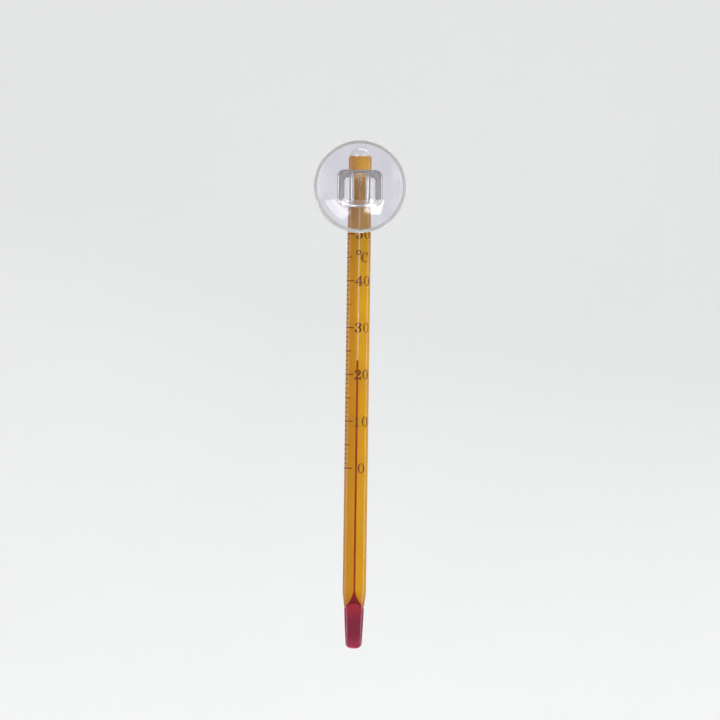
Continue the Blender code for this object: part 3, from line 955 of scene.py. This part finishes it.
class THERMOMETER_OT_stage(bpy.types.Operator):
    """Set the pale backdrop, the soft lights and the camera"""

    bl_idname = "thermometer.stage"
    bl_label = "Stage"

    def execute(self, context):
        stage = context.scene.thermometer_stage
        self.backdrop(stage)
        self.world(context.scene)
        middle = Vector((0, STEM_AXIS[1], stage.view_height))
        self.soft_light("key_light", (-0.60, -0.70, 0.85), middle, (0.7, 0.7), 11.0)
        self.soft_light("fill_light", (0.75, -0.35, 0.85), middle, (0.8, 0.8), 7.5)
        self.soft_light("back_light", (0.25, 0.95, 0.75), middle, (0.8, 0.8), 7.5)
        self.soft_light("left_strip", (-0.95, 0.25, -0.05), middle, (0.26, 0.9), 1.3)
        self.soft_light("right_strip", (0.95, 0.20, -0.05), middle, (0.26, 0.9), 1.6)
        self.camera(context.scene, stage)
        return {"FINISHED"}

    def backdrop(self, stage):
        """A round floor that curves up into a wall on every side."""
        floor, reach = stage.floor_height, stage.room_radius
        bend = 0.5 * reach
        wall = 1.1 * reach
        rings = [(0.1 * reach, 0.0), (reach - bend, 0.0)]
        rings += sweep(
            lambda turn: (reach - bend + bend * math.sin(turn), bend * (1 - math.cos(turn))),
            0.0,
            math.pi / 2,
            16,
        )[1:]
        rings.append((reach, wall))
        room = raised_shell("backdrop", rings, 96, (0, 0, floor))
        self.open_top(room, floor + wall - MM)
        smooth(room, 60)
        give(room, backdrop_material(stage))
        room.visible_glossy = False
        room.visible_transmission = False

    def open_top(self, room, level):
        """Removes the faces that lie wholly above this level, so that the light comes in."""
        edit_all(room)
        bpy.ops.mesh.select_mode(type="FACE")
        bpy.ops.mesh.select_all(action="DESELECT")
        bpy.ops.object.mode_set(mode="OBJECT")
        for polygon in room.data.polygons:
            polygon.select = all(room.data.vertices[index].co.z > level for index in polygon.vertices)
        bpy.ops.object.mode_set(mode="EDIT")
        bpy.ops.mesh.delete(type="FACE")
        bpy.ops.object.mode_set(mode="OBJECT")

    def world(self, scene):
        """Soft even light, with a dimmer room in all reflections, so that the glass stays clear."""
        world = bpy.data.worlds.new("soft_surroundings")
        world.use_nodes = True
        tree = world.node_tree
        light = tree.nodes["Background"]
        room = tree.nodes.new("ShaderNodeBackground")
        for background, strength in ((light, 0.92), (room, 0.38)):
            background.inputs["Color"].default_value = (0.95, 0.965, 1.0, 1.0)
            background.inputs["Strength"].default_value = strength
        path = tree.nodes.new("ShaderNodeLightPath")
        either = tree.nodes.new("ShaderNodeMixShader")
        tree.links.new(path.outputs["Glossy Depth"], either.inputs["Fac"])
        tree.links.new(light.outputs["Background"], either.inputs[1])
        tree.links.new(room.outputs["Background"], either.inputs[2])
        tree.links.new(either.outputs["Shader"], tree.nodes["World Output"].inputs["Surface"])
        scene.world = world

    def soft_light(self, name, place, target, size, power):
        """A panel of light that shines at the target and is not seen itself."""
        deselect()
        bpy.ops.object.light_add(type="AREA", location=place)
        light = bpy.context.object
        light.name = name
        light.data.shape = "RECTANGLE"
        light.data.size, light.data.size_y = size
        light.data.energy = power
        light.visible_camera = False
        light.rotation_euler = (target - Vector(place)).to_track_quat("-Z", "Y").to_euler()

    def camera(self, scene, stage):
        """A camera straight in front of the pane, with a view as wide as its setting at the stem."""
        deselect()
        place = (stage.view_shift, STEM_AXIS[1] - stage.camera_distance, stage.view_height)
        bpy.ops.object.camera_add(location=place, rotation=(math.pi / 2, -stage.camera_roll, 0))
        camera = bpy.context.object
        camera.name = "front_camera"
        camera.data.lens = camera.data.sensor_width * stage.camera_distance / stage.view_width
        camera.data.clip_start = 0.01
        camera.data.clip_end = 20.0
        scene.camera = camera
        scene.view_settings.view_transform = "Standard"


class THERMOMETER_PT_panel(bpy.types.Panel):
    """Lists the operators in the order in which they run"""

    bl_label = "Glass Thermometer"
    bl_idname = "THERMOMETER_PT_panel"
    bl_space_type = "VIEW_3D"
    bl_region_type = "UI"
    bl_category = "Thermometer"

    def draw(self, context):
        for operator in OPERATORS:
            self.layout.operator(operator.bl_idname)
        for name in SETTINGS:
            box = self.layout.box()
            group = getattr(context.scene, name)
            for value in group.bl_rna.properties:
                if value.identifier not in {"rna_type", "name"}:
                    box.prop(group, value.identifier)


SETTINGS = {
    "thermometer_glass": GlassSettings,
    "thermometer_spirit": SpiritSettings,
    "thermometer_enamel": EnamelSettings,
    "thermometer_print": PrintSettings,
    "thermometer_cup": CupSettings,
    "thermometer_stage": StageSettings,
}

OPERATORS = (
    THERMOMETER_OT_glass_body,
    THERMOMETER_OT_bulb_spirit,
    THERMOMETER_OT_spirit_thread,
    THERMOMETER_OT_enamel,
    THERMOMETER_OT_scale_print,
    THERMOMETER_OT_suction_cup,
    THERMOMETER_OT_bubbles,
    THERMOMETER_OT_stage,
)


def register():
    for group in SETTINGS.values():
        bpy.utils.register_class(group)
    for operator in OPERATORS:
        bpy.utils.register_class(operator)
    bpy.utils.register_class(THERMOMETER_PT_panel)
    for name, group in SETTINGS.items():
        setattr(bpy.types.Scene, name, PointerProperty(type=group))


def unregister():
    for name in SETTINGS:
        delattr(bpy.types.Scene, name)
    bpy.utils.unregister_class(THERMOMETER_PT_panel)
    for operator in reversed(OPERATORS):
        bpy.utils.unregister_class(operator)
    for group in reversed(list(SETTINGS.values())):
        bpy.utils.unregister_class(group)


def main():
    register()
    bpy.ops.thermometer.glass_body()
    bpy.ops.thermometer.bulb_spirit()
    bpy.ops.thermometer.spirit_thread()
    bpy.ops.thermometer.enamel()
    bpy.ops.thermometer.scale_print()
    bpy.ops.thermometer.suction_cup()
    bpy.ops.thermometer.bubbles()
    bpy.ops.thermometer.stage()


if __name__ == "__main__":
    main()
